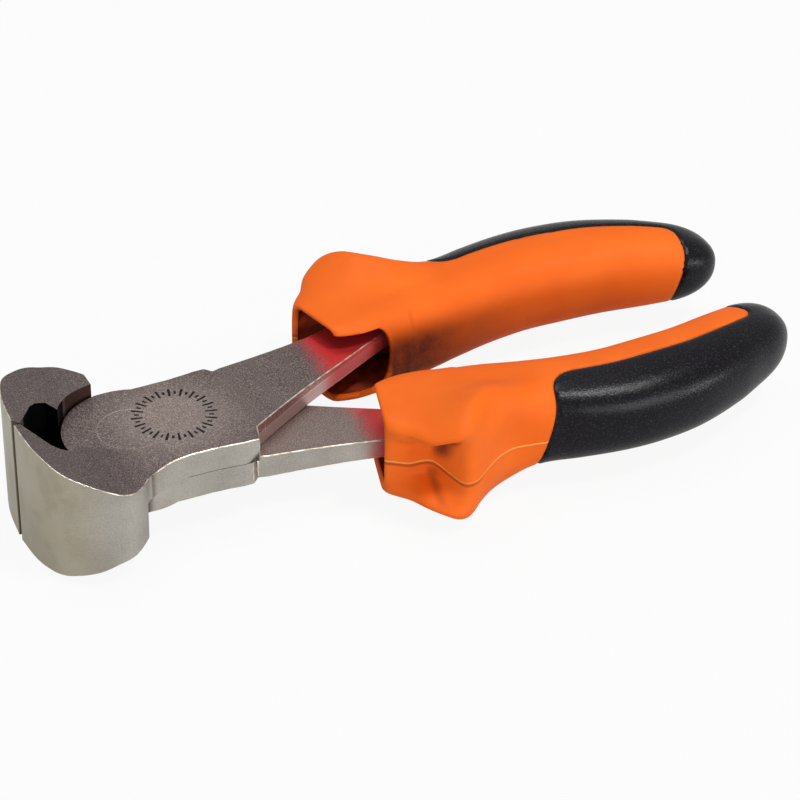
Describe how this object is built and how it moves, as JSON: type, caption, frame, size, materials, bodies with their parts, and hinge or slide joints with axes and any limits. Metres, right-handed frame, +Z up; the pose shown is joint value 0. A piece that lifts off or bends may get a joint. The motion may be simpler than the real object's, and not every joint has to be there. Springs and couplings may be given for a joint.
{
  "type": "end cutting nippers",
  "caption": "Hand tool: crossed levers whose wide jaws cut wire flush in front, closed by squeezing long curved grips with thumb guards.",
  "frame": {"origin": "under the middle of the closed tool, on the surface that it lies on", "axes": "+X from the jaws to the ends of the handles, +Y from the lower lever's handle to the upper lever's, +Z up along the rivet"},
  "size_m": [0.162, 0.0674, 0.028],
  "materials": {
    "forged_steel": "grain-blasted top and bottom, ground sides",
    "rivet_steel": "grain-blasted with the lap",
    "orange_plastic": "satin moulded",
    "black_rubber": "fine-grained soft moulding"
  },
  "bodies": {
    "lower_half": {"lower_lever": "forged_steel", "pivot_rivet": "rivet_steel", "lower_sleeve": "orange_plastic", "lower_overmould": "black_rubber"},
    "upper_half": {"upper_lever": "forged_steel", "upper_sleeve": "orange_plastic", "upper_overmould": "black_rubber"}
  },
  "joints": [
    {"name": "jaw_pivot", "type": "hinge", "parent": "lower_half", "child": "upper_half", "pos_m": [-0.05745, 0, 0.014], "axis": [0, 0, 1], "range_deg": [0, 30]}
  ]
}
